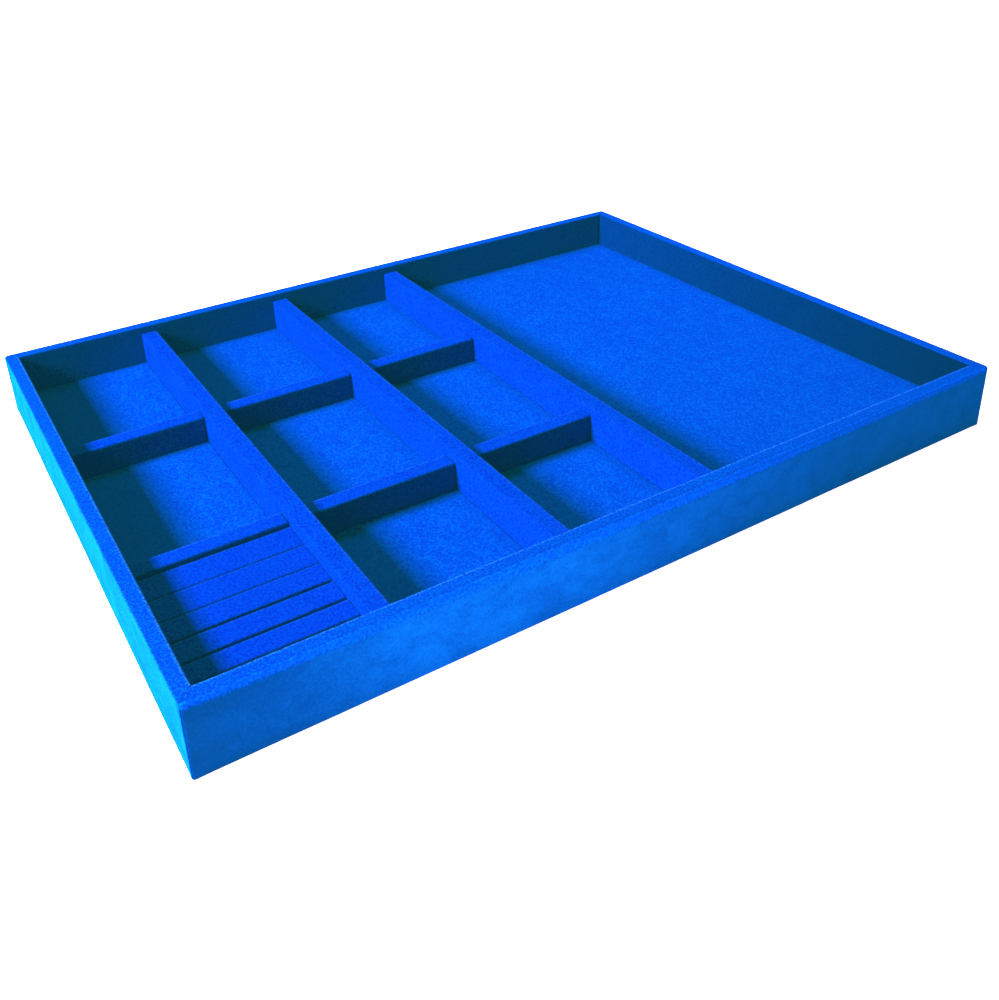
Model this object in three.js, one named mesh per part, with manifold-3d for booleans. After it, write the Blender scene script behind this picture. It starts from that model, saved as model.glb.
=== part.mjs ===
// Coin display tray: a shallow wooden tray covered in blue velour, with three columns of small
// compartments on the left, one large compartment on the right, and a drop-in insert of
// slotted velour bars in the front left compartment.
//
// Millimetres. X runs along the long side, Y from the front rim to the back rim, Z up.
// The origin is the centre of the tray's footprint, on the surface that the tray rests on.

import * as THREE from 'three';
import { mergeVertices } from 'three/addons/utils/BufferGeometryUtils.js';
import Module from 'manifold-3d';

const wasm = await Module();
wasm.setup();

// ---------------------------------------------------------------- driving dimensions

const TRAY_LENGTH = 400; // outside, along X
const TRAY_DEPTH = 300; // outside, along Y
const TRAY_HEIGHT = 32;

const VELOUR = 1; // thickness of the glued velour: backing cloth and pile
const RIM_WIDTH = 7; // rim with its velour on both faces
const RIM_OUTER_RADIUS = 2; // soft outer edge along the top of the rim
const RIM_INNER_RADIUS = 0.75;
const CORNER_RADIUS = 2; // soft upright corners of the tray
const TURN_UNDER = RIM_WIDTH; // velour folded under the rail and cut off level with its inside

const BASE_THICKNESS = 6;
const LINER_THICKNESS = VELOUR; // the felt lies level with the velour folded under the tray
const LINER_GAP = 0.5; // between the felt liner and the cut edge of the turned-under velour

const LONG_DIVIDER_WIDTH = 9;
const LONG_DIVIDER_TOP = 28; // above the resting surface
const LONG_DIVIDER_OFFSETS = [71, 149.25, 223.25]; // left faces, from the tray's left side
const CROSS_DIVIDER_WIDTH = 9;
const CROSS_DIVIDER_TOP = 24;
const CROSS_DIVIDER_OFFSETS = [83, 187]; // front faces, from the tray's front side
const DIVIDER_RADIUS = 1;

const FLOOR_TOP = 10.5; // top of the velour on the compartment floors
const FLOOR_VELOUR = 1.5; // the floor's velour has a thicker pile
const FLOOR_HEM = 0.75; // velour folded down over the edges of the floor card
const FLOOR_GAP = 0.25; // round each floor pad

const INSERT_TOP = 22;
const INSERT_GAP = 0.25; // round the insert, so that it lifts out
const INSERT_CARD = 2;
const BAR_PITCHES = [11.5, 11.5, 12.5, 12, 14, 14]; // space that each bar takes, front to back
const BAR_SLOTS = [1.25, 1.5, 1.5, 0.5, 0.5]; // open slot behind each bar but the last
const BAR_RADIUS = 2;

const ARC_STEPS = 4; // straight steps in each rounded edge

// ---------------------------------------------------------------- places worked out from them

const LEFT = -TRAY_LENGTH / 2;
const RIGHT = TRAY_LENGTH / 2;
const FRONT = -TRAY_DEPTH / 2;
const BACK = TRAY_DEPTH / 2;

const BASE_BOTTOM = LINER_THICKNESS;
const BASE_TOP = BASE_BOTTOM + BASE_THICKNESS;
const RAIL_INSIDE = RIM_WIDTH - VELOUR; // inner face of the bare rail, from the tray's outside

const longDividers = LONG_DIVIDER_OFFSETS.map((offset) => {
  const from = LEFT + offset;
  return { from, to: from + LONG_DIVIDER_WIDTH };
});
const crossDividers = CROSS_DIVIDER_OFFSETS.map((offset) => {
  const from = FRONT + offset;
  return { from, to: from + CROSS_DIVIDER_WIDTH };
});

// The free widths between the walls, left to right and front to back.
const columns = spacesBetween(LEFT + RIM_WIDTH, RIGHT - RIM_WIDTH, longDividers);
const rows = spacesBetween(FRONT + RIM_WIDTH, BACK - RIM_WIDTH, crossDividers);
const COLUMN_NAMES = ['left', 'middle', 'right'];
const ROW_NAMES = ['front', 'centre', 'back'];
const smallColumns = columns.slice(0, COLUMN_NAMES.length);
const largeColumn = columns[COLUMN_NAMES.length];

function spacesBetween(start, end, walls) {
  const starts = [start, ...walls.map((wall) => wall.to)];
  const ends = [...walls.map((wall) => wall.from), end];
  return starts.map((from, i) => ({ from, to: ends[i] }));
}

// ---------------------------------------------------------------- materials

const velourLook = { color: 0x0a4be0, roughness: 0.95, metalness: 0 };
const insertVelourLook = { color: 0x0843d8, roughness: 0.95, metalness: 0 };
const railLook = { color: 0xd8b98a, roughness: 0.7, metalness: 0 };
const boardLook = { color: 0xa98258, roughness: 0.8, metalness: 0 };
const cardLook = { color: 0xb9ad98, roughness: 0.9, metalness: 0 };
const foamLook = { color: 0x6f8fc4, roughness: 1, metalness: 0 };
const linerLook = { color: 0x14213f, roughness: 1, metalness: 0 };

const tray = new THREE.Group();

function addPiece(name, geometry, look) {
  const mesh = new THREE.Mesh(geometry, new THREE.MeshStandardMaterial(look));
  mesh.name = name;
  tray.add(mesh);
}

// ---------------------------------------------------------------- shapes

function box(x, y, z) {
  const geometry = new THREE.BoxGeometry(x.to - x.from, y.to - y.from, z.to - z.from);
  return geometry.translate((x.from + x.to) / 2, (y.from + y.to) / 2, (z.from + z.to) / 2);
}

function shrink(range, by) {
  return { from: range.from + by, to: range.to - by };
}

function solidOf(geometry) {
  const bare = geometry.clone();
  bare.deleteAttribute('normal');
  bare.deleteAttribute('uv');
  const merged = mergeVertices(bare, 1e-4);
  return new wasm.Manifold(new wasm.Mesh({
    numProp: 3,
    vertProperties: new Float32Array(merged.attributes.position.array),
    triVerts: new Uint32Array(merged.index.array),
  }));
}

function geometryOf(solid) {
  const mesh = solid.getMesh();
  const geometry = new THREE.BufferGeometry();
  geometry.setAttribute('position', new THREE.BufferAttribute(mesh.vertProperties, 3));
  geometry.setIndex(new THREE.BufferAttribute(mesh.triVerts, 1));
  geometry.computeVertexNormals();
  return geometry;
}

// A section is drawn with its first axis across the wall and its second axis up. It is laid
// along X with the wall's thickness along Y, or along Y with the thickness along X.
function layAlongX(section, x) {
  const geometry = new THREE.ExtrudeGeometry(section, {
    depth: x.to - x.from,
    bevelEnabled: false,
    curveSegments: ARC_STEPS,
  });
  const turn = new THREE.Matrix4().set(
    0, 0, 1, x.from,
    1, 0, 0, 0,
    0, 1, 0, 0,
    0, 0, 0, 1,
  );
  return geometry.applyMatrix4(turn);
}

function layAlongY(section, y) {
  const geometry = layAlongX(section, { from: -y.to, to: -y.from });
  const quarterTurn = new THREE.Matrix4().set(
    0, 1, 0, 0,
    -1, 0, 0, 0,
    0, 0, 1, 0,
    0, 0, 0, 1,
  );
  return geometry.applyMatrix4(quarterTurn);
}

// An upside-down U of cloth over a core: open below, with its two top edges rounded.
function coverSection(across, bottom, top, thickness, radius) {
  const shape = new THREE.Shape();
  shape.moveTo(across.from, bottom);
  shape.lineTo(across.from + thickness, bottom);
  shape.lineTo(across.from + thickness, top - thickness);
  shape.lineTo(across.to - thickness, top - thickness);
  shape.lineTo(across.to - thickness, bottom);
  shape.lineTo(across.to, bottom);
  shape.lineTo(across.to, top - radius);
  shape.absarc(across.to - radius, top - radius, radius, 0, Math.PI / 2, false);
  shape.lineTo(across.from + radius, top);
  shape.absarc(across.from + radius, top - radius, radius, Math.PI / 2, Math.PI, false);
  shape.lineTo(across.from, bottom);
  return shape;
}

// ---------------------------------------------------------------- rim

// Velour over a rim rail, measured inwards from the outer face: down the inner face to the base
// board, over the top, down the outer face and folded under the tray.
function rimCoverSection() {
  const shape = new THREE.Shape();
  shape.moveTo(0, 0);
  shape.lineTo(TURN_UNDER, 0);
  shape.lineTo(TURN_UNDER, VELOUR);
  shape.lineTo(VELOUR, VELOUR);
  shape.lineTo(VELOUR, TRAY_HEIGHT - VELOUR);
  shape.lineTo(RAIL_INSIDE, TRAY_HEIGHT - VELOUR);
  shape.lineTo(RAIL_INSIDE, BASE_TOP);
  shape.lineTo(RIM_WIDTH, BASE_TOP);
  shape.lineTo(RIM_WIDTH, TRAY_HEIGHT - RIM_INNER_RADIUS);
  shape.absarc(
    RIM_WIDTH - RIM_INNER_RADIUS, TRAY_HEIGHT - RIM_INNER_RADIUS, RIM_INNER_RADIUS,
    0, Math.PI / 2, false,
  );
  shape.lineTo(RIM_OUTER_RADIUS, TRAY_HEIGHT);
  shape.absarc(
    RIM_OUTER_RADIUS, TRAY_HEIGHT - RIM_OUTER_RADIUS, RIM_OUTER_RADIUS,
    Math.PI / 2, Math.PI, false,
  );
  shape.lineTo(0, 0);
  return shape;
}

function rimRailSection() {
  const shape = new THREE.Shape();
  shape.moveTo(VELOUR, BASE_BOTTOM);
  shape.lineTo(RAIL_INSIDE, BASE_BOTTOM);
  shape.lineTo(RAIL_INSIDE, TRAY_HEIGHT - VELOUR);
  shape.lineTo(VELOUR, TRAY_HEIGHT - VELOUR);
  shape.lineTo(VELOUR, BASE_BOTTOM);
  return shape;
}

// A section laid along one side of the tray with both ends cut at 45 degrees: each point lies
// as far from the corner as it does from the outer face.
function mitred(section, sideLength) {
  const geometry = layAlongX(section, { from: 0, to: sideLength });
  const position = geometry.attributes.position;
  for (let i = 0; i < position.count; i += 1) {
    const inwards = position.getY(i);
    const isFarEnd = position.getX(i) > sideLength / 2;
    position.setX(i, isFarEnd ? sideLength / 2 - inwards : inwards - sideLength / 2);
  }
  return geometry;
}

const SIDES = [
  { name: 'front', length: TRAY_LENGTH, toOutside: TRAY_DEPTH / 2, quarterTurns: 0 },
  { name: 'right', length: TRAY_DEPTH, toOutside: TRAY_LENGTH / 2, quarterTurns: 1 },
  { name: 'back', length: TRAY_LENGTH, toOutside: TRAY_DEPTH / 2, quarterTurns: 2 },
  { name: 'left', length: TRAY_DEPTH, toOutside: TRAY_LENGTH / 2, quarterTurns: 3 },
];

// Quarter turns about Z by swapping and negating coordinates, which keeps them exact.
function turned(geometry, quarterTurns) {
  const position = geometry.attributes.position;
  for (let i = 0; i < position.count; i += 1) {
    let x = position.getX(i);
    let y = position.getY(i);
    for (let turn = 0; turn < quarterTurns; turn += 1) {
      [x, y] = [-y, x];
    }
    position.setXY(i, x, y);
  }
  return geometry;
}

function roundedFootprint() {
  const r = CORNER_RADIUS;
  const shape = new THREE.Shape();
  shape.moveTo(LEFT + r, FRONT);
  shape.lineTo(RIGHT - r, FRONT);
  shape.absarc(RIGHT - r, FRONT + r, r, -Math.PI / 2, 0, false);
  shape.lineTo(RIGHT, BACK - r);
  shape.absarc(RIGHT - r, BACK - r, r, 0, Math.PI / 2, false);
  shape.lineTo(LEFT + r, BACK);
  shape.absarc(LEFT + r, BACK - r, r, Math.PI / 2, Math.PI, false);
  shape.lineTo(LEFT, FRONT + r);
  shape.absarc(LEFT + r, FRONT + r, r, Math.PI, 1.5 * Math.PI, false);
  return shape;
}

function buildRim() {
  const outline = solidOf(new THREE.ExtrudeGeometry(roundedFootprint(), {
    depth: TRAY_HEIGHT,
    bevelEnabled: false,
    curveSegments: ARC_STEPS,
  }));
  for (const side of SIDES) {
    const rail = mitred(rimRailSection(), side.length).translate(0, -side.toOutside, 0);
    addPiece(`rim_rail_${side.name}`, turned(rail, side.quarterTurns), railLook);

    const cover = mitred(rimCoverSection(), side.length).translate(0, -side.toOutside, 0);
    const rounded = solidOf(turned(cover, side.quarterTurns)).intersect(outline);
    addPiece(`rim_velour_${side.name}`, geometryOf(rounded), velourLook);
  }
}

// ---------------------------------------------------------------- base

function buildBase() {
  const x = shrink({ from: LEFT, to: RIGHT }, RAIL_INSIDE);
  const y = shrink({ from: FRONT, to: BACK }, RAIL_INSIDE);
  addPiece('base_board', box(x, y, { from: BASE_BOTTOM, to: BASE_TOP }), boardLook);

  const linerInset = TURN_UNDER + LINER_GAP;
  const linerX = shrink({ from: LEFT, to: RIGHT }, linerInset);
  const linerY = shrink({ from: FRONT, to: BACK }, linerInset);
  const linerZ = { from: 0, to: LINER_THICKNESS };
  addPiece('underside_felt_liner', box(linerX, linerY, linerZ), linerLook);
}

// ---------------------------------------------------------------- dividers

function addDivider(name, layAlong, across, along, top) {
  const cover = coverSection(across, BASE_TOP, top, VELOUR, DIVIDER_RADIUS);
  addPiece(`${name}_velour`, layAlong(cover, along), velourLook);
}

function buildLongDividers() {
  const y = { from: FRONT + RIM_WIDTH, to: BACK - RIM_WIDTH };
  longDividers.forEach((divider, i) => {
    const name = `long_divider_${COLUMN_NAMES[i]}`;
    const coreHeights = { from: BASE_TOP, to: LONG_DIVIDER_TOP - VELOUR };
    addPiece(`${name}_core`, box(shrink(divider, VELOUR), y, coreHeights), railLook);
    addDivider(name, layAlongY, divider, y, LONG_DIVIDER_TOP);
  });
}

function buildCrossDividers() {
  smallColumns.forEach((column, c) => {
    crossDividers.forEach((divider, d) => {
      const name = `cross_divider_${COLUMN_NAMES[c]}_${d === 0 ? 'front' : 'back'}`;
      const coreHeights = { from: BASE_TOP, to: CROSS_DIVIDER_TOP - VELOUR };
      addPiece(`${name}_core`, box(column, shrink(divider, VELOUR), coreHeights), railLook);
      addDivider(name, layAlongX, divider, column, CROSS_DIVIDER_TOP);
    });
  });
}

// ---------------------------------------------------------------- compartment floors

// A card with velour glued over it and folded down over its four edges.
function addFloorPad(name, column, row) {
  const x = shrink(column, FLOOR_GAP);
  const y = shrink(row, FLOOR_GAP);
  const card = box(
    shrink(x, FLOOR_HEM), shrink(y, FLOOR_HEM), { from: BASE_TOP, to: FLOOR_TOP - FLOOR_VELOUR },
  );
  const whole = box(x, y, { from: BASE_TOP, to: FLOOR_TOP });
  addPiece(`${name}_card`, card, cardLook);
  addPiece(`${name}_velour`, geometryOf(solidOf(whole).subtract(solidOf(card))), velourLook);
}

function buildFloors() {
  smallColumns.forEach((column, c) => {
    rows.forEach((row, r) => {
      const holdsInsert = c === 0 && r === 0;
      if (!holdsInsert) {
        addFloorPad(`floor_${COLUMN_NAMES[c]}_${ROW_NAMES[r]}`, column, row);
      }
    });
  });
  addFloorPad('floor_large', largeColumn, { from: FRONT + RIM_WIDTH, to: BACK - RIM_WIDTH });
}

// ---------------------------------------------------------------- slotted insert

function buildInsert() {
  const x = shrink(smallColumns[0], INSERT_GAP);
  const y = shrink(rows[0], INSERT_GAP);
  const cardTop = BASE_TOP + INSERT_CARD;
  addPiece('insert_card', box(x, y, { from: BASE_TOP, to: cardTop }), cardLook);

  let start = y.from;
  BAR_PITCHES.forEach((pitch, i) => {
    const slotBehind = BAR_SLOTS[i] ?? 0;
    const bar = { from: start, to: start + pitch - slotBehind };
    const foam = box(x, shrink(bar, VELOUR), { from: cardTop, to: INSERT_TOP - VELOUR });
    addPiece(`insert_bar_${i + 1}_foam`, foam, foamLook);
    const cover = coverSection(bar, cardTop, INSERT_TOP, VELOUR, BAR_RADIUS);
    addPiece(`insert_bar_${i + 1}_velour`, layAlongX(cover, x), insertVelourLook);
    start += pitch;
  });
}

buildBase();
buildRim();
buildLongDividers();
buildCrossDividers();
buildFloors();
buildInsert();

export default tray;
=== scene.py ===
"""Coin display tray: the looks of a blue velour tray with compartments and a slotted insert.

Metres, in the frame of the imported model: X along the tray, Y from front to back, Z up. Every size
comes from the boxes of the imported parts, so each piece lies where its solid does.
"""

import math

import bpy
import numpy as np
from mathutils import Matrix, Vector, noise


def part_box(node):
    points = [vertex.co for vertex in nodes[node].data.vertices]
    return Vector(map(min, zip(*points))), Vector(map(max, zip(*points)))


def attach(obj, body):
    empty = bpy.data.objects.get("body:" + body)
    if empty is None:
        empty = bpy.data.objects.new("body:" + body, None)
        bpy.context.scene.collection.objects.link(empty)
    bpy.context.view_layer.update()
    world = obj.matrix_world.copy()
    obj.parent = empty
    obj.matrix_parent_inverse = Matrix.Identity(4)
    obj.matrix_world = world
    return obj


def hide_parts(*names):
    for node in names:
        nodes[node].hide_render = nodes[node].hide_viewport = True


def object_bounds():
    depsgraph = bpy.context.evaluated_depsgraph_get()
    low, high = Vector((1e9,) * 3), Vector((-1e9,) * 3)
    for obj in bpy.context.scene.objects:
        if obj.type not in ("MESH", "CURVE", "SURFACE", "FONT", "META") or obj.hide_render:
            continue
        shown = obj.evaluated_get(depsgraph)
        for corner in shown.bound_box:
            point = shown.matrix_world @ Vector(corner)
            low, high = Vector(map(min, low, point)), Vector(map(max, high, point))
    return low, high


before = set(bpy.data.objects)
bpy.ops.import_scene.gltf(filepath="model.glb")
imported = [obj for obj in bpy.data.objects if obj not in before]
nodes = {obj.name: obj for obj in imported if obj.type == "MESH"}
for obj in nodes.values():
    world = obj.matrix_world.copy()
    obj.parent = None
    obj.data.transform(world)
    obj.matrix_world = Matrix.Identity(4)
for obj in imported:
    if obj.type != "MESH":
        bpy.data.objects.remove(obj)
cad_low, cad_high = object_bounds()

MM = 0.001

# ------------------------------------------------------------------ sizes read from the frame

rim_low, rim_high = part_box("rim_velour_front")
rail_low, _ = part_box("rim_rail_front")
_, board_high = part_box("base_board")
liner_low, liner_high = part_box("underside_felt_liner")

LENGTH = cad_high.x - cad_low.x
DEPTH = cad_high.y - cad_low.y
RIM_WIDTH = rim_high.y - rim_low.y
VELOUR = rail_low.y - rim_low.y  # thickness of the glued velour
BASE_TOP = board_high.z
TURN_UNDER = RIM_WIDTH

# Soft edges of the covered wood: larger outside, where hands rub them.
RIM_OUTER_RADIUS = 1 * MM
FRONT_WORN_RADIUS = 2.4 * MM  # in the middle of the front, where the tray is picked up
HIGHLIGHT_AT_ENDS = 2.2 * MM  # how far down the front's face the painted highlight of the lit top reaches at the ends
HIGHLIGHT_MORE = 2.2 * MM  # and how much further in the middle
HIGHLIGHT_FADE = 2.4 * MM  # over this height it fades out
SHEEN_FADE_DEPTH = 0.7 * MM  # over this depth the painted sheen of the outer sides fades out
SHEEN_FADE_OVERLAP = 0.15  # the fade starts this share of it further in
FRONT_LAYER = 1 * MM
RIM_INNER_RADIUS = 0.75 * MM
RIM_LOW_RADIUS = 0.4 * MM
CORNER_RADIUS = 1.2 * MM  # the upright corners, at the bottom
CORNER_TOP_RADIUS = 2.8 * MM  # and at the top, where they are knocked
DIVIDER_RADIUS = 1 * MM
BAR_RADIUS = 0.8 * MM
LINING_RADIUS = 0.1 * MM  # the cloth's own inner face at an edge

PAD_RADIUS = 0.25 * MM
PAD_SPREAD = 0.2 * MM  # the pile of the floor pads fills the gap round them
PAD_DENTS_START = 3 * MM
SKIRT_START = 1.6  # in pad radii below the top, where the folded sides begin

GRID = 1.6 * MM  # mesh spacing on cloth
ARC_STEPS = 5
SHARP_ANGLE = math.radians(50)
END_SOFTENING = 0.5 * MM  # how far the pile draws in where a strip is cut
MITRE_SHARE = 0.35  # and what share of that it draws in at a mitre
DENTS_START = 4 * MM  # the dents fade out over this length towards a strip's ends
BAR_END_SOFTENING = 0.12 * MM
BAR_SPREAD = 0.2 * MM  # the pile of the bars swells into the slots and the gap round the insert
NAP_DEPTH = 0.10 * MM  # dents in the pile
NAP_SIZE = 3.4 * MM
SAG_DEPTH = 0.16 * MM  # slow waves in the cloth
SAG_SIZE = 38 * MM

# How strongly a pale highlight is painted along each kind of edge, where the edge catches the light.
RIM_EDGE_HIGHLIGHTS = {"front": 1.0, "right": 0.0, "back": 0.0, "left": 1.0}
RIM_HIGHLIGHT_ON_TOP = 0.7  # of the edge's own painted highlight, carried just past the edge onto the top
RIM_LOW_HIGHLIGHT = 0.2
DIVIDER_HIGHLIGHT = 0.3
BAR_HIGHLIGHT = 0.15

# How much shade is painted on each face: the share by which its colour is darkened towards a deep blue.
SHADE_LONG_DIVIDER = 0.1
SHADE_CROSS_DIVIDER = 0.35
SHADE_BACK = 0.3
SHADE_RIGHT_FAR, SHADE_RIGHT_MORE_NEAR = 0.68, 0.3
SHADE_FRONT_LEFT_END, SHADE_FRONT_RIGHT = 0.55, 0.2

FOAM_RADIUS = 0.6 * MM
FOAM_GRID = 2 * MM
LINER_RADIUS = 0.3 * MM
LINER_LIFT = 0.12 * MM
LINER_WAVE = 14 * MM
LINER_LOWER_FACE = 0.5 * MM  # points this near the bottom belong to the lower face
LINER_GRID = 4 * MM

# The first seed of each kind of strip or pad, so that no two have the same dents.
DIVIDER_SEEDS = 10
FLOOR_SEEDS = 30
BAR_SEEDS = 50

COLUMNS = ("left", "middle", "right")
CROSS_ROWS = ("front", "back")
FLOOR_ROWS = ("front", "centre", "back")
BARS = range(1, 7)


# ------------------------------------------------------------------ node helpers


class Nodes:
    """A material's node tree, with its nodes made by short calls."""

    def __init__(self, name):
        self.material = bpy.data.materials.new(name)
        self.material.use_nodes = True
        self.tree = self.material.node_tree
        self.shader = self.tree.nodes["Principled BSDF"]
        self.place = self.tree.nodes.new("ShaderNodeTexCoord").outputs["Object"]

    def link(self, source, target):
        self.tree.links.new(source, target)

    def noise(self, size, detail=3.0, rough=0.55, stretch=None, distort=0.0):
        """Noise from 0 to 1 whose blobs are about size metres across."""
        node = self.tree.nodes.new("ShaderNodeTexNoise")
        node.inputs["Scale"].default_value = 1 / size
        node.inputs["Detail"].default_value = detail
        node.inputs["Roughness"].default_value = rough
        node.inputs["Distortion"].default_value = distort
        self.link(self.stretched(stretch), node.inputs["Vector"])
        return node.outputs["Fac"]

    def cells(self, size, stretch=None):
        """Distance field of cells about size metres across."""
        node = self.tree.nodes.new("ShaderNodeTexVoronoi")
        node.inputs["Scale"].default_value = 1 / size
        self.link(self.stretched(stretch), node.inputs["Vector"])
        return node.outputs["Distance"]

    def stretched(self, stretch):
        if stretch is None:
            return self.place
        node = self.tree.nodes.new("ShaderNodeMapping")
        node.inputs["Scale"].default_value = stretch
        self.link(self.place, node.inputs["Vector"])
        return node.outputs["Vector"]

    def attribute(self, name):
        node = self.tree.nodes.new("ShaderNodeAttribute")
        node.attribute_name = name
        return node.outputs["Fac"]

    def spread(self, value, low, high, to_low=0.0, to_high=1.0):
        """value taken from the range low..high to the range to_low..to_high."""
        node = self.tree.nodes.new("ShaderNodeMapRange")
        node.inputs["From Min"].default_value = low
        node.inputs["From Max"].default_value = high
        node.inputs["To Min"].default_value = to_low
        node.inputs["To Max"].default_value = to_high
        self.link(value, node.inputs["Value"])
        return node.outputs["Result"]

    def math(self, operation, a, b):
        node = self.tree.nodes.new("ShaderNodeMath")
        node.operation = operation
        for socket, value in zip(node.inputs, (a, b)):
            if isinstance(value, (int, float)):
                socket.default_value = value
            else:
                self.link(value, socket)
        return node.outputs[0]

    def mix(self, share, first, second):
        """first where share is 0, second where it is 1. Colours are sockets or RGB values."""
        node = self.tree.nodes.new("ShaderNodeMix")
        node.data_type = "RGBA"
        self.link(share, node.inputs["Factor"])
        for name, colour in (("A_Color", first), ("B_Color", second)):
            socket = next(s for s in node.inputs if s.identifier == name)
            if isinstance(colour, tuple):
                socket.default_value = (*colour, 1)
            else:
                self.link(colour, socket)
        return next(s for s in node.outputs if s.identifier == "Result_Color")

    def bump(self, height, strength, distance, below=None):
        node = self.tree.nodes.new("ShaderNodeBump")
        node.inputs["Strength"].default_value = strength
        node.inputs["Distance"].default_value = distance
        self.link(height, node.inputs["Height"])
        if below is not None:
            self.link(below, node.inputs["Normal"])
        return node.outputs["Normal"]

    def finish(self, colour, roughness, normal):
        self.link(colour, self.shader.inputs["Base Color"])
        self.link(roughness, self.shader.inputs["Roughness"])
        self.link(normal, self.shader.inputs["Normal"])
        return self.material


# ------------------------------------------------------------------ materials


def velour(name, deep, pale):
    """Short dense pile with a grain of tufts.

    Marks on the mesh change its colour: a painted sheen, paler and greener, on the outer sides;
    a painted highlight down the upper band of the front's face; painted shade, a darker blue, on
    faces in shade; and a painted highlight along sharp edges that catch the light.
    """
    n = Nodes(name)
    tufts = n.noise(1.1 * MM, detail=2, rough=0.7)
    specks = n.noise(0.6 * MM, detail=1)
    clouds = n.noise(24 * MM, detail=4, distort=1.4)
    strokes = n.noise(8 * MM, detail=3, stretch=(1.0, 0.5, 1.4))
    grain = n.math("ADD", n.math("MULTIPLY", tufts, 0.6), n.math("MULTIPLY", specks, 0.4))
    drift = n.math("ADD", n.math("MULTIPLY", clouds, 0.6), n.math("MULTIPLY", strokes, 0.4))

    fine = n.spread(grain, 0.42, 0.58)
    colour = n.mix(n.math("ADD", fine, n.spread(drift, 0.4, 0.6, -0.1, 0.1)), deep, pale)
    # painted sheen: the outer sides take a paler, greener blue that stands in for the light they catch
    sheen_share = n.math("ADD", n.math("MULTIPLY", fine, 0.4), n.spread(drift, 0.35, 0.65, 0.0, 0.6))
    sheen_colour = n.mix(sheen_share, PAINTED_SHEEN_DEEP, PAINTED_SHEEN_PALE)
    colour = n.mix(n.attribute("painted_sheen"), colour, sheen_colour)
    # painted highlight: a bright band down the upper part of the front's face, with a ragged lower edge
    edge = n.math("ADD", n.attribute("painted_highlight"), n.spread(grain, 0.3, 0.7, -0.5, 0.5))
    smooth = n.mix(fine, PAINTED_HIGHLIGHT_DEEP, PAINTED_HIGHLIGHT_PALE)
    painted_highlight = n.math("MULTIPLY", n.spread(edge, 0.3, 0.7), n.spread(n.attribute("painted_highlight"), 0, 0.2))
    colour = n.mix(painted_highlight, colour, smooth)
    # painted shade: faces marked in the mesh are darkened towards a deep blue
    colour = n.mix(n.attribute("painted_shade"), colour, BLUE_PAINTED_SHADE)
    # painted highlight: a pale line along sharp edges that catch the light, broken up by the tufts
    edge_highlight = n.math("MULTIPLY", n.attribute("edge_highlight"), n.spread(tufts, 0.35, 0.6))
    colour = n.mix(edge_highlight, colour, BLUE_PAINTED_HIGHLIGHT)

    roughness = n.spread(drift, 0.3, 0.7, 0.86, 1.0)
    normal = n.bump(drift, 0.3, 1.2 * MM)
    normal = n.bump(grain, 0.6, 0.4 * MM, normal)
    n.shader.inputs["Specular IOR Level"].default_value = 0.0
    n.shader.inputs["Sheen Weight"].default_value = 0.03
    n.shader.inputs["Sheen Roughness"].default_value = 0.45
    n.shader.inputs["Sheen Tint"].default_value = (0.0, 0.35, 1.0, 1)
    return n.finish(colour, roughness, normal)


def felt(name, dark, light):
    """Pressed fibres in every direction, slightly mottled."""
    n = Nodes(name)
    fibres = n.noise(0.8 * MM, detail=4, rough=0.7, distort=2.5)
    mottle = n.noise(7 * MM, detail=3)
    share = n.math("ADD", n.spread(fibres, 0.35, 0.65, 0, 0.6), n.spread(mottle, 0.35, 0.65, 0, 0.4))
    roughness = n.spread(mottle, 0.3, 0.7, 0.88, 1.0)
    n.shader.inputs["Specular IOR Level"].default_value = 0.1
    n.shader.inputs["Sheen Weight"].default_value = 0.1
    return n.finish(n.mix(share, dark, light), roughness, n.bump(fibres, 0.6, 0.3 * MM))


def sawn_wood(name, pale, dark, grain_axis):
    """Planed softwood: long growth lines with fine pores along the grain."""
    stretch = [1.0, 1.0, 1.0]
    stretch[grain_axis] = 0.06
    n = Nodes(name)
    lines = n.noise(2.2 * MM, detail=4, stretch=stretch, distort=0.6)
    pores = n.noise(0.35 * MM, detail=2, stretch=stretch)
    share = n.math("ADD", n.spread(lines, 0.35, 0.65, 0, 0.8), n.spread(pores, 0.4, 0.7, 0, 0.25))
    roughness = n.spread(pores, 0.3, 0.7, 0.55, 0.75)
    return n.finish(n.mix(share, pale, dark), roughness, n.bump(lines, 0.3, 0.2 * MM))


def fibreboard(name, pale, dark):
    """Medium-density board: pressed dust with darker flecks."""
    n = Nodes(name)
    dust = n.noise(0.6 * MM, detail=3)
    flecks = n.cells(2.4 * MM, stretch=(1.0, 0.45, 1.0))
    share = n.math("ADD", n.spread(dust, 0.35, 0.65, 0, 0.6), n.spread(flecks, 0.05, 0.35, 0.5, 0))
    roughness = n.spread(dust, 0.3, 0.7, 0.7, 0.9)
    return n.finish(n.mix(share, pale, dark), roughness, n.bump(dust, 0.25, 0.15 * MM))


def greyboard(name, pale, dark):
    """Recycled card: soft grey-brown with specks of fibre."""
    n = Nodes(name)
    pulp = n.noise(1.4 * MM, detail=5, rough=0.7)
    specks = n.noise(0.5 * MM, detail=1)
    share = n.math("ADD", n.spread(pulp, 0.35, 0.65, 0, 0.5), n.spread(specks, 0.6, 0.75, 0, 0.7))
    roughness = n.spread(pulp, 0.3, 0.7, 0.82, 0.97)
    return n.finish(n.mix(share, pale, dark), roughness, n.bump(pulp, 0.25, 0.12 * MM))


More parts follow.
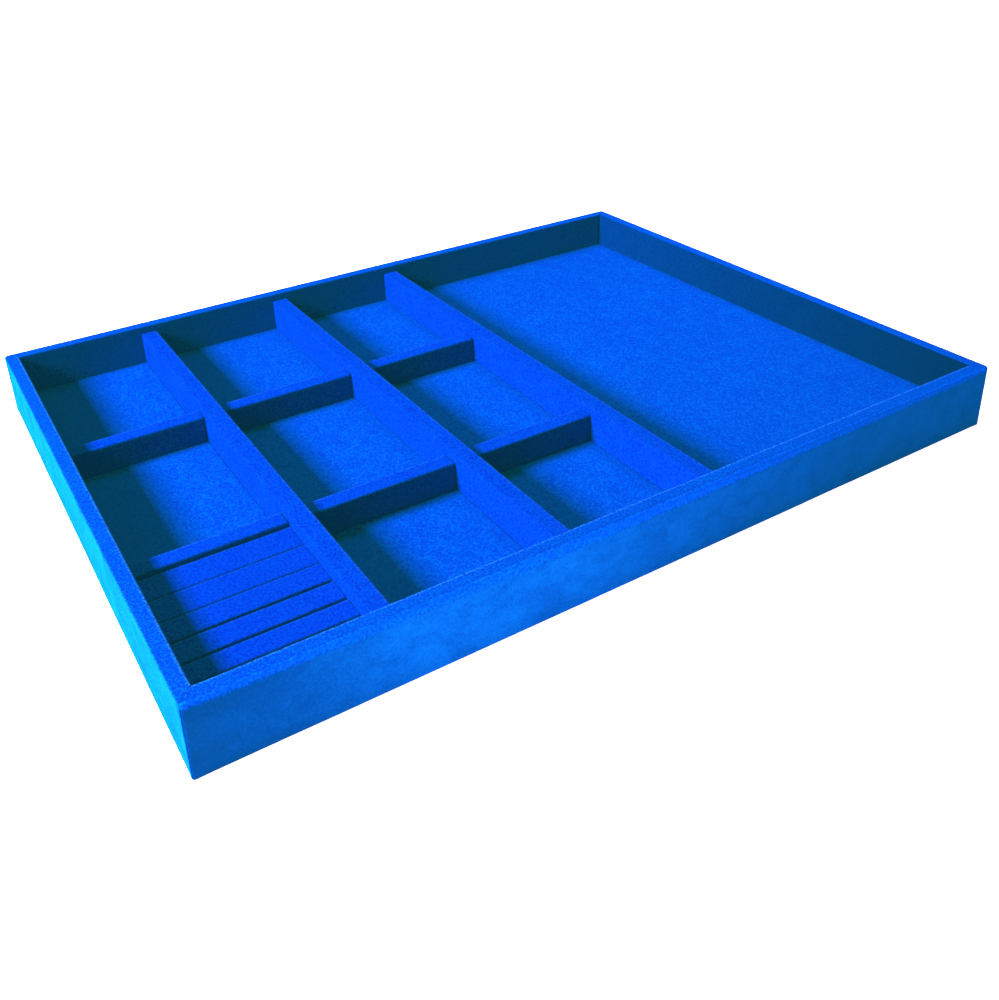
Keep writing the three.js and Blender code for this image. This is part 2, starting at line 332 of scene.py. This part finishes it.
def foam(name, pale, dark):
    """Open-cell polyurethane foam: small round pores of mixed sizes."""
    n = Nodes(name)
    pores = n.cells(0.9 * MM)
    small = n.cells(0.4 * MM)
    hollow = n.math("ADD", n.spread(pores, 0.1, 0.5, 0.7, 0), n.spread(small, 0.1, 0.5, 0.4, 0))
    roughness = n.spread(pores, 0.0, 0.6, 0.98, 0.86)
    n.shader.inputs["Specular IOR Level"].default_value = 0.15
    return n.finish(n.mix(hollow, pale, dark), roughness, n.bump(pores, 0.6, 0.4 * MM))


# paler, greener blues of the painted sheen on the outer sides
PAINTED_SHEEN_DEEP = (0.0005, 0.043, 0.27)
PAINTED_SHEEN_PALE = (0.0014, 0.092, 0.43)
# brighter blues of the painted highlight down the front's face
PAINTED_HIGHLIGHT_DEEP = (0.0001, 0.040, 0.48)
PAINTED_HIGHLIGHT_PALE = (0.0003, 0.085, 0.62)
# the deep blue of the painted shade
BLUE_PAINTED_SHADE = (0.0001, 0.0025, 0.028)
# pale blue of the painted highlight along edges
BLUE_PAINTED_HIGHLIGHT = (0.012, 0.120, 0.45)

rim_cloth = velour("velour_rim", (0.0001, 0.010, 0.25), (0.0002, 0.055, 0.30))
divider_cloth = velour("velour_dividers", (0.0001, 0.001, 0.23), (0.0002, 0.030, 0.30))
floor_cloth = velour("velour_floors", (0.0001, 0.009, 0.24), (0.0002, 0.053, 0.30))
insert_cloth = velour("velour_insert", (0.0001, 0.001, 0.22), (0.0002, 0.020, 0.28))
liner_felt = felt("liner_felt", (0.004, 0.01, 0.035), (0.012, 0.03, 0.085))
core_wood_x = sawn_wood("pine_along_x", (0.62, 0.42, 0.23), (0.42, 0.24, 0.11), 0)
core_wood_y = sawn_wood("pine_along_y", (0.62, 0.42, 0.23), (0.42, 0.24, 0.11), 1)
board = fibreboard("base_fibreboard", (0.17, 0.105, 0.055), (0.09, 0.052, 0.026))
card = greyboard("pad_greyboard", (0.12, 0.108, 0.088), (0.06, 0.053, 0.043))
bar_foam = foam("bar_foam", (0.012, 0.026, 0.075), (0.003, 0.008, 0.028))


# ------------------------------------------------------------------ mesh helpers


def mesh_object(name, vertices, faces, material, body, replaced, marks=None):
    """A smooth-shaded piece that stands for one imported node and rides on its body."""
    mesh = bpy.data.meshes.new(name)
    mesh.from_pydata([tuple(v) for v in vertices], [], [tuple(f) for f in faces])
    mesh.validate()
    mesh.shade_smooth()
    mesh.set_sharp_from_angle(angle=SHARP_ANGLE)
    for mark, values in (marks or {}).items():
        layer = mesh.attributes.new(mark, "FLOAT", "POINT")
        layer.data.foreach_set("value", np.asarray(values, np.float32))
    mesh.materials.append(material)
    piece = bpy.data.objects.new(name, mesh)
    bpy.context.scene.collection.objects.link(piece)
    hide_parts(replaced)
    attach(piece, body)
    return piece


def steps_between(start, end, spacing=GRID):
    """Evenly spaced values from start to end, both included."""
    count = max(1, round(abs(end - start) / spacing))
    return np.linspace(start, end, count + 1)


def run_lines(low, high, edge, spacing=GRID):
    """Mesh lines from low to high, close together over the last edge metres at both ends."""
    rise = edge * (1 - np.cos(np.linspace(0, math.pi / 2, ARC_STEPS)))
    middle = steps_between(low + edge, high - edge, spacing)
    return np.concatenate([low + rise[:-1], middle, (high - rise[:-1])[::-1]])


def grid_faces(rows, columns, first=0, flip=False):
    """Quads of a grid whose vertices are numbered row by row from first."""
    r, c = np.meshgrid(np.arange(rows - 1), np.arange(columns - 1), indexing="ij")
    a = first + r * columns + c
    quads = np.stack([a, a + 1, a + columns + 1, a + columns], axis=-1).reshape(-1, 4)
    return quads[:, ::-1] if flip else quads


def joined_rings(first, second, flip=False):
    """Quads between two closed rings of vertex numbers of the same length."""
    a, b = np.asarray(first), np.asarray(second)
    quads = np.stack([a, np.roll(a, -1), np.roll(b, -1), b], axis=-1)
    return quads[:, ::-1] if flip else quads


def grid_border(rows, columns, first=0):
    """The border vertices of a grid, in order once round."""
    top = [first + c for c in range(columns)]
    right = [first + r * columns + columns - 1 for r in range(1, rows)]
    bottom = [first + (rows - 1) * columns + c for c in range(columns - 2, -1, -1)]
    left = [first + r * columns for r in range(rows - 2, 0, -1)]
    return top + right + bottom + left


def pile_dents(points, seed):
    """How far the pile is pressed in at each point: small dents on slow waves, always inwards."""
    shift = Vector((seed * 0.37, seed * 0.11, seed * 0.23))
    dents = np.empty(len(points))
    for i, p in enumerate(points):
        at = Vector(p) + shift
        small = 0.5 + 0.5 * noise.noise(at / NAP_SIZE)
        slow = 0.5 + 0.5 * noise.noise(at / SAG_SIZE)
        dents[i] = NAP_DEPTH * small + SAG_DEPTH * slow
    return dents


# ------------------------------------------------------------------ cloth wrapped round a section


class Section:
    """A path across a wrapped strip: points (across, up), outward normals and the strength of the
    painted edge highlight.

    core_low and core_high are the corners round which the lining turns.
    """

    def __init__(self, core_low, core_high):
        self.core_low, self.core_high = core_low, core_high
        self.points, self.normals, self.lining, self.edge_highlights = [], [], [], []

    def flat(self, start, end, normal, spacing=GRID, edge_highlight=0.0):
        """A straight stretch. The last argument is the strength of the painted edge highlight at its
        start only.
        """
        start, end, normal = np.array(start), np.array(end), np.array(normal, float)
        along = 0 if normal[0] == 0 else 1
        for share in steps_between(0, 1, spacing / np.linalg.norm(end - start)):
            point = start + (end - start) * share
            lining = point - normal * VELOUR
            lining[along] = np.clip(lining[along], self.core_low[along], self.core_high[along])
            self.add(point, normal, lining, edge_highlight if share == 0 else 0.0)

    def corner(self, centre, radius, lining_centre, from_degrees, to_degrees, edge_highlight):
        """A rounded edge. The lining turns on its own small radius round lining_centre."""
        for share in np.linspace(0, 1, ARC_STEPS + 1)[1:-1]:
            angle = math.radians(from_degrees + (to_degrees - from_degrees) * share)
            normal = np.array((math.cos(angle), math.sin(angle)))
            # the painted edge highlight is strongest in the middle of the arc
            strength = edge_highlight * math.sin(share * math.pi)
            self.add(
                np.array(centre) + normal * radius,
                normal,
                np.array(lining_centre) + normal * LINING_RADIUS,
                strength,
            )

    def add(self, point, normal, lining, edge_highlight):
        self.points.append(point)
        self.normals.append(normal)
        self.lining.append(lining)
        self.edge_highlights.append(edge_highlight)


def divider_section(across, bottom, top, radius, edge_highlight):
    """Up the side at b, over the top and down the other. The painted edge highlight shows only along
    the first edge.
    """
    a, b = across
    inner = VELOUR + LINING_RADIUS
    s = Section((a + inner, bottom), (b - inner, top - inner))
    s.flat((b, bottom), (b, top - radius), (1, 0))
    s.corner((b - radius, top - radius), radius, (b - inner, top - inner), 0, 90, edge_highlight)
    s.flat((b - radius, top), (a + radius, top), (0, 1), GRID / 2, edge_highlight)
    s.corner((a + radius, top - radius), radius, (a + inner, top - inner), 90, 180, 0.0)
    s.flat((a, top - radius), (a, bottom), (-1, 0))
    return s


def rim_section(height, edge_highlight):
    """Measured inwards from the outer face: up the inside, over, down the outside and under."""
    inner = VELOUR + LINING_RADIUS
    r_in, r_out, r_low = RIM_INNER_RADIUS, RIM_OUTER_RADIUS, RIM_LOW_RADIUS
    s = Section((inner, inner), (RIM_WIDTH, height - inner))
    s.flat((RIM_WIDTH, BASE_TOP), (RIM_WIDTH, height - r_in), (1, 0))
    s.corner(
        (RIM_WIDTH - r_in, height - r_in), r_in, (RIM_WIDTH - inner, height - inner), 0, 90, edge_highlight
    )
    s.flat((RIM_WIDTH - r_in, height), (r_out, height), (0, 1), GRID / 2, edge_highlight * RIM_HIGHLIGHT_ON_TOP)
    s.corner((r_out, height - r_out), r_out, (inner, height - inner), 90, 180, 0.0)
    s.flat((0, height - r_out), (0, r_low), (-1, 0), GRID / 2)
    s.corner((r_low, r_low), r_low, (inner, inner), 180, 270, RIM_LOW_HIGHLIGHT)
    s.flat((r_low, 0), (TURN_UNDER, 0), (0, -1))
    return s


def wrapped_strip(section, start, end, place, seed, softening, mitred):
    """Vertices, faces and painted edge-highlight strengths of cloth laid along a run from start to end.

    place turns (across, along, up) arrays into XYZ points. A mitred strip's ends run in by as
    much as each point lies in from the outer face.
    """
    outer, lining = np.array(section.points), np.array(section.lining)
    normals = np.array(section.normals)
    lines = run_lines(0.0, end - start, softening * 2)
    count, stations = len(outer), len(lines)

    def laid(path):
        inset = path[:, :1] if mitred else np.zeros((count, 1))
        scale = (end - start - 2 * inset) / (end - start)
        along = start + inset + lines[None, :] * scale
        across = np.repeat(path[:, :1], stations, axis=1)
        up = np.repeat(path[:, 1:], stations, axis=1)
        return np.stack([across, along, up], axis=-1)

    cloth, inside = laid(outer), laid(lining)
    from_end = np.minimum(lines, lines[-1] - lines)
    reach = np.clip(1 - from_end / (softening * 2), 0, 1)
    drawn_in = softening * (1 - np.sqrt(1 - reach**2 * 0.999))
    ease = np.clip(from_end / DENTS_START, 0, 1)
    points = place(cloth)
    dents = pile_dents(points.reshape(-1, 3), seed).reshape(count, stations)
    inward = drawn_in[None, :] * (MITRE_SHARE if mitred else 1.0) + dents * ease[None, :]
    cloth[..., 0] -= normals[:, :1] * inward
    cloth[..., 2] -= normals[:, 1:] * inward

    vertices = np.concatenate([place(cloth).reshape(-1, 3), place(inside).reshape(-1, 3)])
    lining_first = count * stations
    faces = np.concatenate([
        grid_faces(count, stations),
        grid_faces(count, stations, lining_first, flip=True),
        joined_rings(
            grid_border(count, stations), grid_border(count, stations, lining_first), flip=True
        ),
    ])
    edge_highlights = np.concatenate([np.repeat(section.edge_highlights, stations), np.zeros(lining_first)])
    return vertices, faces, edge_highlights


def rounded_corner(points):
    """Points of the rim with the tray's upright corners rounded, more towards the top."""
    rise = (points[:, 2:] - cad_low.z) / (cad_high.z - cad_low.z)
    radius = CORNER_RADIUS + (CORNER_TOP_RADIUS - CORNER_RADIUS) * rise
    core = np.array((LENGTH / 2, DEPTH / 2)) - radius
    out = np.abs(points[:, :2]) - core
    inside = (out > 0).all(axis=1)
    scale = np.ones(len(out))
    scale[inside] = out[inside].max(axis=1) / np.linalg.norm(out[inside], axis=1)
    rounded = points.copy()
    moved = np.sign(points[:, :2]) * (core + out * scale[:, None])
    rounded[:, :2] = np.where(inside[:, None], moved, points[:, :2])
    return rounded


def outward(faces, vertices):
    """The faces, turned over if they enclose a negative volume."""
    a, b, c, d = (vertices[faces[:, i]] for i in range(4))
    volume = (a * np.cross(b, c)).sum() + (a * np.cross(c, d)).sum()
    return faces if volume > 0 else faces[:, ::-1]


def worn_edge(points):
    """The front rim's top edge, pressed rounder towards the middle of the tray."""
    middle = 1 - (points[:, 0] / (LENGTH / 2)) ** 2
    radius = RIM_OUTER_RADIUS + (FRONT_WORN_RADIUS - RIM_OUTER_RADIUS) * middle
    away = np.stack([points[:, 1] - cad_low.y - radius, cad_high.z - radius - points[:, 2]], axis=-1)
    length = np.linalg.norm(away, axis=1)
    edge = (away[:, 0] < 0) & (away[:, 1] < 0) & (length > radius)
    scale = np.where(edge, radius / np.maximum(length, radius), 1)
    worn = points.copy()
    worn[:, 1] = cad_low.y + radius + away[:, 0] * scale
    worn[:, 2] = cad_high.z - radius - away[:, 1] * scale
    return worn


def on_front(points):
    """True for points in the outermost layer of the front's face."""
    return points[:, 1] < cad_low.y + FRONT_LAYER


def painted_highlight_band(points):
    """1 where a painted highlight carries the lit top's brightness down the front's face, in a sagging
    line.
    """
    middle = 1 - (points[:, 0] / (LENGTH / 2)) ** 2
    line = cad_high.z - HIGHLIGHT_AT_ENDS - HIGHLIGHT_MORE * middle
    return on_front(points) * np.clip(0.5 + (points[:, 2] - line) / HIGHLIGHT_FADE, 0, 1)


def painted_sheen_on_sides(points):
    """Painted sheen: 1 on the tray's outer sides, fading to 0 at the edge of the rim's top."""
    depth = np.minimum(LENGTH / 2 - np.abs(points[:, 0]), DEPTH / 2 - np.abs(points[:, 1]))
    return np.clip(1 + SHEEN_FADE_OVERLAP - depth / SHEEN_FADE_DEPTH, 0, 1)


def painted_shade_by_face(points):
    """Painted shade, as a share: a darker blue on the right and back inner faces and along the front's
    face.
    """
    x, y = points[:, 0], points[:, 1]
    inner_x, inner_y = cad_high.x - RIM_WIDTH, cad_high.y - RIM_WIDTH
    on_right = (np.abs(x - inner_x + VELOUR / 2) < VELOUR) & (np.abs(y) < inner_y + VELOUR)
    on_back = (np.abs(y - inner_y + VELOUR / 2) < VELOUR) & (np.abs(x) < inner_x + VELOUR)
    right_shade = SHADE_RIGHT_FAR + SHADE_RIGHT_MORE_NEAR * (0.5 - y / DEPTH)
    past_left_end = np.clip((x - cad_low.x) / (0.2 * LENGTH), 0, 1)
    into_right_part = np.clip((x + 0.1 * LENGTH) / (0.4 * LENGTH), 0, 1)
    front_shade = SHADE_FRONT_LEFT_END * (1 - past_left_end) + SHADE_FRONT_RIGHT * into_right_part
    shades = (on_right * right_shade, on_back * SHADE_BACK, on_front(points) * front_shade)
    return np.max(shades, axis=0)


def build_rim():
    """Four mitred lengths of velour, each over its own rail."""
    sides = (
        ("front", LENGTH, DEPTH),
        ("right", DEPTH, LENGTH),
        ("back", LENGTH, DEPTH),
        ("left", DEPTH, LENGTH),
    )
    for quarter_turns, (side, run, span) in enumerate(sides):
        section = rim_section(cad_high.z, RIM_EDGE_HIGHLIGHTS[side])

        def place(p, quarter_turns=quarter_turns, span=span):
            x, y, z = p[..., 1], p[..., 0] - span / 2, p[..., 2]
            for _ in range(quarter_turns):
                x, y = -y, x
            return np.stack([x, y, z], axis=-1)

        vertices, faces, edge_highlights = wrapped_strip(
            section, -run / 2, run / 2, place, quarter_turns, END_SOFTENING, mitred=True
        )
        outside = len(vertices) // 2
        vertices[:outside] = rounded_corner(vertices[:outside])
        if side == "front":
            vertices[:outside] = worn_edge(vertices[:outside])
        painted_highlight = painted_highlight_band(vertices)
        # marks: painted edge highlight, painted sheen on the outer sides, painted shade, and the
        # painted highlight down the front
        marks = {
            "edge_highlight": edge_highlights,
            "painted_sheen": painted_sheen_on_sides(vertices) * (1 - painted_highlight),
            "painted_shade": painted_shade_by_face(vertices) * (1 - painted_highlight),
            "painted_highlight": painted_highlight,
        }
        name = f"rim_velour_{side}"
        piece = mesh_object(
            f"{name}_cloth", vertices, outward(faces, vertices), rim_cloth, "tray",
            name, marks,
        )


def wrap_node(
    node, axis, section, spread, softening, painted_shade, material, body, seed
):
    """Velour over a straight core that runs along axis 0 (X) or 1 (Y), in place of its node.

    spread is how far the pile stands out beyond the node's ends. The argument after softening is the
    share of painted shade on the face towards the front or the left.
    """
    low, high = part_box(node)
    side = 1 - axis

    def place(p):
        order = (1, 0, 2) if axis == 0 else (0, 1, 2)
        return p[..., order]

    vertices, faces, edge_highlights = wrapped_strip(
        section, low[axis] - spread, high[axis] + spread, place, seed, softening, mitred=False
    )
    # painted shade on the face towards the front or the left
    shade_share = painted_shade * (vertices[:, side] < low[side] + VELOUR / 2)
    piece = mesh_object(
        f"{node}_cloth", vertices, outward(faces, vertices), material, body, node,
        {"edge_highlight": edge_highlights, "painted_shade": shade_share},
    )


def build_dividers():
    long_ones = [(f"long_divider_{column}", 1, SHADE_LONG_DIVIDER) for column in COLUMNS]
    cross_ones = [
        (f"cross_divider_{column}_{row}", 0, SHADE_CROSS_DIVIDER)
        for column in COLUMNS
        for row in CROSS_ROWS
    ]
    for seed, (name, axis, painted_shade) in enumerate(long_ones + cross_ones, start=DIVIDER_SEEDS):
        low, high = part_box(f"{name}_velour")
        across = (low[1 - axis], high[1 - axis])
        section = divider_section(across, low.z, high.z, DIVIDER_RADIUS, DIVIDER_HIGHLIGHT)
        wrap_node(
            f"{name}_velour", axis, section, 0, END_SOFTENING, painted_shade, divider_cloth, "tray",
            seed,
        )


# ------------------------------------------------------------------ compartment floors


def pad_cover(outer_low, outer_high, card_low, card_high, radius, seed):
    """Velour over a card, folded down over its four edges: vertices and faces, open below."""
    xs = run_lines(outer_low.x, outer_high.x, radius)
    ys = run_lines(outer_low.y, outer_high.y, radius)
    rows, columns = len(ys), len(xs)
    x, y = np.meshgrid(xs, ys)
    from_x = np.minimum(x - outer_low.x, outer_high.x - x)
    from_y = np.minimum(y - outer_low.y, outer_high.y - y)
    near_x = np.clip(1 - from_x / radius, 0, 1)
    near_y = np.clip(1 - from_y / radius, 0, 1)
    near = np.minimum(1, np.hypot(near_x, near_y))
    z = outer_high.z - radius * (1 - np.sqrt(1 - near**2))
    top = np.stack([x, y, z], axis=-1).reshape(-1, 3)
    ease = np.clip(np.minimum(from_x, from_y) / PAD_DENTS_START, 0, 1).ravel()
    top[:, 2] -= pile_dents(top, seed) * ease

    border = grid_border(rows, columns)
    skirt_levels = (outer_high.z - radius * SKIRT_START, outer_low.z)
    layers = [top]
    rings = [np.array(border)]
    total = len(top)
    for level in skirt_levels:
        ring = top[border].copy()
        ring[:, 2] = level
        layers.append(ring)
        rings.append(total + np.arange(len(border)))
        total += len(border)

    share_x = (x - outer_low.x) / (outer_high.x - outer_low.x)
    share_y = (y - outer_low.y) / (outer_high.y - outer_low.y)
    inner = np.stack(
        [
            card_low.x + share_x * (card_high.x - card_low.x),
            card_low.y + share_y * (card_high.y - card_low.y),
            np.full_like(x, card_high.z),
        ],
        axis=-1,
    ).reshape(-1, 3)
    inner_first = total
    layers.append(inner)
    total += len(inner)
    inner_border = np.array(grid_border(rows, columns, inner_first))
    foot = inner[np.array(border)].copy()
    foot[:, 2] = card_low.z
    layers.append(foot)
    foot_ring = total + np.arange(len(border))

    rings += [foot_ring, inner_border]
    faces = [grid_faces(rows, columns), grid_faces(rows, columns, inner_first, flip=True)]
    faces += [joined_rings(a, b, flip=True) for a, b in zip(rings, rings[1:])]
    return np.concatenate(layers), np.concatenate(faces)


def build_floors():
    names = [f"floor_{c}_{r}" for c in COLUMNS for r in FLOOR_ROWS if (c, r) != ("left", "front")]
    names.append("floor_large")
    for seed, name in enumerate(names, start=FLOOR_SEEDS):
        low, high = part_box(f"{name}_velour")
        card_low, card_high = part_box(f"{name}_card")
        snug = Vector((PAD_SPREAD, PAD_SPREAD, 0))
        vertices, faces = pad_cover(low - snug, high + snug, card_low, card_high, PAD_RADIUS, seed)
        piece = mesh_object(
            f"{name}_cloth", vertices, outward(faces, vertices), floor_cloth, "tray",
            f"{name}_velour",
        )


# ------------------------------------------------------------------ insert, foam and liner


def rounded_block(low, high, radius, spacing):
    """A closed block with rounded edges and an even mesh: vertices and faces."""
    lines = [run_lines(low[i], high[i], radius, spacing) for i in range(3)]
    found, vertices, faces = {}, [], []

    def number(key):
        if key not in found:
            found[key] = len(vertices)
            p = np.array([lines[i][key[i]] for i in range(3)])
            core = np.clip(p, np.array(low) + radius, np.array(high) - radius)
            away = p - core
            vertices.append(core + away / np.linalg.norm(away) * radius)
        return found[key]

    for axis in range(3):
        u, v = [i for i in range(3) if i != axis]
        for end in (0, len(lines[axis]) - 1):
            for i in range(len(lines[u]) - 1):
                for j in range(len(lines[v]) - 1):
                    corners = []
                    for di, dj in ((0, 0), (1, 0), (1, 1), (0, 1)):
                        key = [0, 0, 0]
                        key[axis], key[u], key[v] = end, i + di, j + dj
                        corners.append(number(tuple(key)))
                    flip = (end == 0) != (axis == 1)
                    faces.append(corners[::-1] if flip else corners)
    return np.array(vertices), np.array(faces)


def build_insert():
    for bar in BARS:
        name = f"insert_bar_{bar}"
        low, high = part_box(f"{name}_foam")
        vertices, faces = rounded_block(low, high, FOAM_RADIUS, FOAM_GRID)
        core = mesh_object(
            f"{name}_foam_core", vertices, outward(faces, vertices), bar_foam, "slot_insert",
            f"{name}_foam",
        )
        low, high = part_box(f"{name}_velour")
        across = (low.y - BAR_SPREAD, high.y + BAR_SPREAD)
        section = divider_section(across, low.z, high.z, BAR_RADIUS, BAR_HIGHLIGHT)
        wrap_node(
            f"{name}_velour", 0, section, BAR_SPREAD, BAR_END_SOFTENING, 0.0, insert_cloth,
            "slot_insert", BAR_SEEDS + bar,
        )


def build_liner():
    vertices, faces = rounded_block(liner_low, liner_high, LINER_RADIUS, LINER_GRID)
    for p in vertices:
        if p[2] < liner_low.z + LINER_LOWER_FACE:
            p[2] += LINER_LIFT * (0.5 + 0.5 * noise.noise(Vector(p) / LINER_WAVE))
    piece = mesh_object(
        "liner_sheet", vertices, outward(faces, vertices), liner_felt, "tray",
        "underside_felt_liner",
    )


# ------------------------------------------------------------------ kept CAD nodes


def finish_cad_nodes():
    """Wood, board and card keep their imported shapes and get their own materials."""
    for name, node in nodes.items():
        if node.hide_render:
            continue
        if name == "base_board":
            material = board
        elif name.endswith("_card") or name == "insert_card":
            material = card
        elif name.startswith("cross_divider") or name in ("rim_rail_front", "rim_rail_back"):
            material = core_wood_x
        else:
            material = core_wood_y
        node.data.materials.clear()
        node.data.materials.append(material)


# ------------------------------------------------------------------ studio


def pale_floor():
    """A white surface, lit from within so that it stays white in the tray's shadow."""
    n = Nodes("studio_floor")
    haze = n.noise(0.4, detail=2)
    colour = n.mix(n.spread(haze, 0.3, 0.7), (0.53, 0.53, 0.53), (0.57, 0.57, 0.57))
    roughness = n.spread(haze, 0.3, 0.7, 0.85, 0.95)
    n.finish(colour, roughness, n.bump(haze, 0.02, 1 * MM))
    n.shader.inputs["Emission Color"].default_value = (1, 1, 1, 1)
    n.shader.inputs["Emission Strength"].default_value = 1.0
    bpy.ops.mesh.primitive_plane_add(size=8)
    floor = bpy.context.object
    floor.name = "studio_floor"
    floor.location.z = cad_low.z
    floor.data.materials.append(n.material)


def area_light(name, place, target, size, power, spread=180):
    light = bpy.data.lights.new(name, "AREA")
    light.shape = "RECTANGLE"
    light.size, light.size_y = size
    light.energy = power
    light.spread = math.radians(spread)
    lamp = bpy.data.objects.new(name, light)
    lamp.location = place
    lamp.rotation_euler = (Vector(target) - Vector(place)).to_track_quat("-Z", "Y").to_euler()
    lamp.visible_camera = False
    bpy.context.scene.collection.objects.link(lamp)


def studio_air():
    """Dim light from all round. Seen directly, it is the white of the backdrop."""
    world = bpy.data.worlds.new("studio_air")
    world.use_nodes = True
    tree = world.node_tree
    sky = tree.nodes["Background"]
    backdrop = tree.nodes.new("ShaderNodeBackground")
    chosen = tree.nodes.new("ShaderNodeMixShader")
    ray = tree.nodes.new("ShaderNodeLightPath")
    sky.inputs["Strength"].default_value = SKY_STRENGTH
    sky.inputs["Color"].default_value = (1, 1, 1, 1)
    backdrop.inputs["Color"].default_value = (1, 1, 1, 1)
    tree.links.new(ray.outputs["Is Camera Ray"], chosen.inputs["Fac"])
    tree.links.new(sky.outputs["Background"], chosen.inputs[1])
    tree.links.new(backdrop.outputs["Background"], chosen.inputs[2])
    tree.links.new(chosen.outputs["Shader"], tree.nodes["World Output"].inputs["Surface"])
    bpy.context.scene.world = world


def film_response():
    """The photograph's film: black is a dark teal, and dark blues keep some green."""
    view = bpy.context.scene.view_settings
    view.view_transform = "Standard"
    view.use_curve_mapping = True
    curves = view.curve_mapping.curves
    red = ((0.0, 0.0012), (0.01, 0.0102))
    green = (
        (0.0, 0.022), (0.003, 0.043), (0.012, 0.052), (0.03, 0.068), (0.06, 0.087), (0.107, 0.112),
    )
    blue = ((0.0, 0.028), (0.08, 0.10))
    for curve, toe in zip(curves, (red, green, blue)):
        curve.points[0].location = toe[0]
        for x, y in toe[1:] + ((0.3, 0.3),):
            curve.points.new(x, y)
    view.curve_mapping.update()


KEY_PLACE = (-1.2, 0.12, 0.71)  # from the left, a little from behind
KEY_SIZE = 0.30
KEY_POWER = 98
FILL_PLACE = (0.24, 0.26, 0.62)  # above the right half and behind, so faces towards the front stay dark
FILL_SIZE = 0.25
FILL_POWER = 0.85
FILL_SPREAD = 64
FILL_TARGET = (0.17, 0, 0)
LOW_HEIGHT = 0.7  # of the tray's height, for both low lamps
LOW_LEFT_GAP = 0.25  # from the tray's left face to the lamp that lights it
LOW_LEFT_LENGTH = 0.5
LOW_LEFT_POWER = 1.9
LOW_FRONT_GAP = 0.14  # the same for the front, where the lamp stands left of the middle
LOW_FRONT_PLACE = -0.09
LOW_FRONT_LENGTH = 0.1
LOW_FRONT_POWER = 0.25
SKY_STRENGTH = 0.2


def build_studio():
    pale_floor()
    studio_air()
    film_response()
    area_light("key", KEY_PLACE, (0, 0, 0), (KEY_SIZE, KEY_SIZE), KEY_POWER)
    area_light("fill", FILL_PLACE, FILL_TARGET, (FILL_SIZE, FILL_SIZE), FILL_POWER, FILL_SPREAD)
    middle = cad_high.z / 2
    strip = cad_high.z * LOW_HEIGHT
    left_lamp = (cad_low.x - LOW_LEFT_GAP, 0, middle)
    left_face = (cad_low.x, 0, middle)
    area_light("low_left", left_lamp, left_face, (LOW_LEFT_LENGTH, strip), LOW_LEFT_POWER)
    front_lamp = (LOW_FRONT_PLACE, cad_low.y - LOW_FRONT_GAP, middle)
    front_face = (LOW_FRONT_PLACE, cad_low.y, middle)
    area_light("low_front", front_lamp, front_face, (LOW_FRONT_LENGTH, strip), LOW_FRONT_POWER)


# The camera: where it looks from, round the tray and above the horizon, and its small roll.
CAMERA_AZIMUTH = math.radians(-30.29)
CAMERA_ELEVATION = math.radians(26.33)
CAMERA_ROLL = math.radians(-2.31)
CAMERA_DISTANCE = 0.5981
CAMERA_TARGET = Vector((0.0287, 0.0598, 0.0))
CAMERA_LENS = 37.37
CAMERA_SHIFT = (0.0375, -0.14)


def build_camera():
    back = Vector((
        math.sin(CAMERA_AZIMUTH) * math.cos(CAMERA_ELEVATION),
        -math.cos(CAMERA_AZIMUTH) * math.cos(CAMERA_ELEVATION),
        math.sin(CAMERA_ELEVATION),
    ))
    across = Vector((0, 0, 1)).cross(back).normalized()
    up = back.cross(across)
    turn = Matrix((across, up, back)).transposed() @ Matrix.Rotation(CAMERA_ROLL, 3, "Z")
    camera = bpy.data.cameras.new("camera")
    camera.lens = CAMERA_LENS
    camera.sensor_width = 36
    camera.shift_x, camera.shift_y = CAMERA_SHIFT
    camera.clip_start = 0.01
    holder = bpy.data.objects.new("camera", camera)
    holder.matrix_world = Matrix.Translation(CAMERA_TARGET + back * CAMERA_DISTANCE) @ turn.to_4x4()
    bpy.context.scene.collection.objects.link(holder)
    bpy.context.scene.camera = holder


build_camera()
build_rim()
build_dividers()
build_floors()
build_insert()
build_liner()
finish_cad_nodes()
build_studio()
